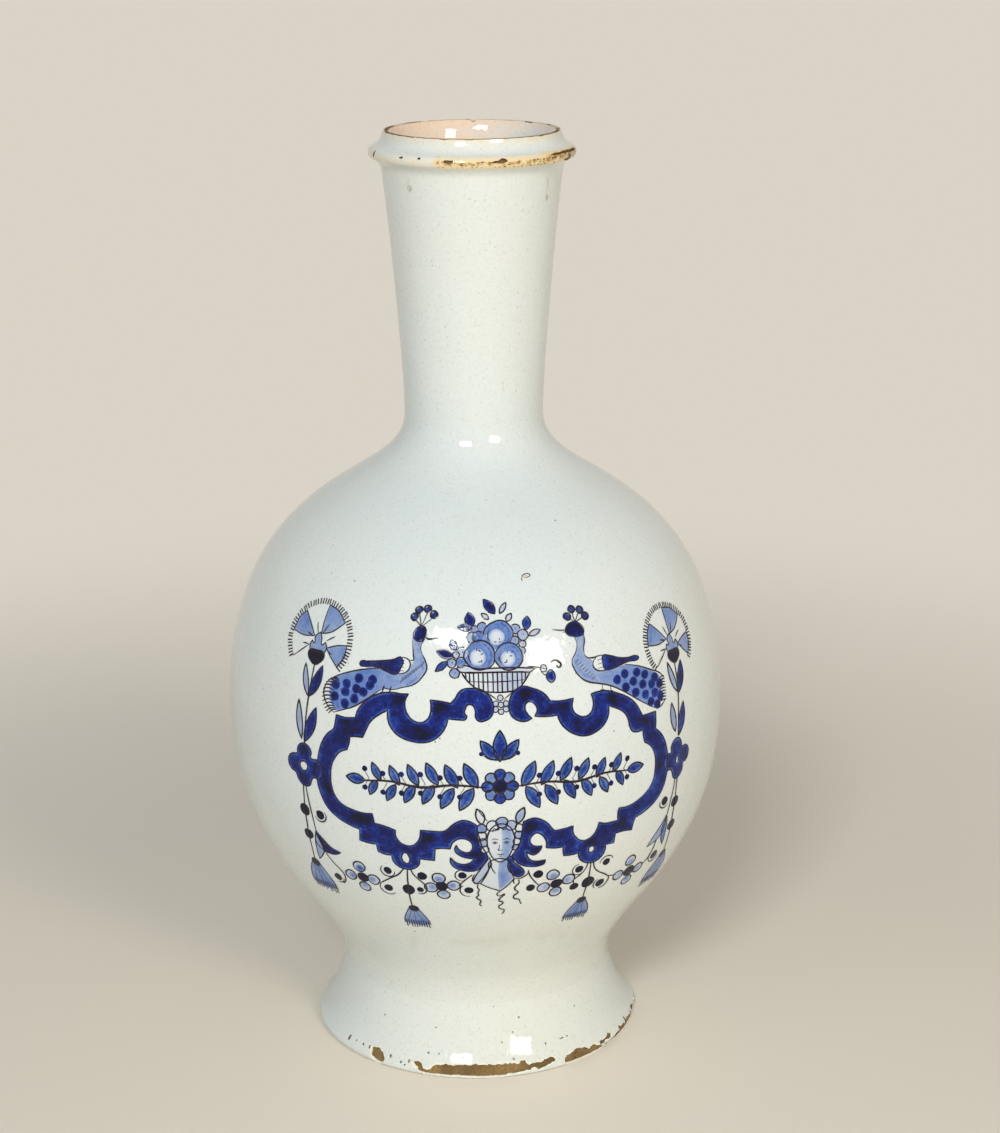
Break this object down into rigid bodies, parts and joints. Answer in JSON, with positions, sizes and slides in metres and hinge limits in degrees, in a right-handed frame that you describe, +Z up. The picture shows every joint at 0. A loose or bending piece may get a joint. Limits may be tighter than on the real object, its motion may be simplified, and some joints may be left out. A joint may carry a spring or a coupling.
{
  "type": "apothecary bottle",
  "caption": "Globular tin-glazed earthenware pharmacy bottle with a tall widening neck, a collar for tying down a cover, a spreading foot and a blue painted cartouche.",
  "frame": {"origin": "middle of the standing ring, on the surface that the bottle stands on", "axes": "+Z up along the bottle's axis, -Y towards the painted front, +X to the right of someone who looks at the front"},
  "size_m": [0.1352, 0.1352, 0.25],
  "materials": {
    "clay": "fired buff earthenware, matt and slightly gritty",
    "slip": "fired luting slip, matt",
    "glaze": "glossy white tin glaze with a faint blue cast, painted in cobalt blue"
  },
  "bodies": {
    "root": {"foot": "clay", "foot_slip": "slip", "globe_lower": "clay", "belly_slip": "slip", "globe_upper": "clay", "neck_slip": "slip", "neck": "clay", "collar_slip": "slip", "collar": "clay", "glaze_outside": "glaze", "glaze_inside": "glaze"}
  },
  "joints": []
}
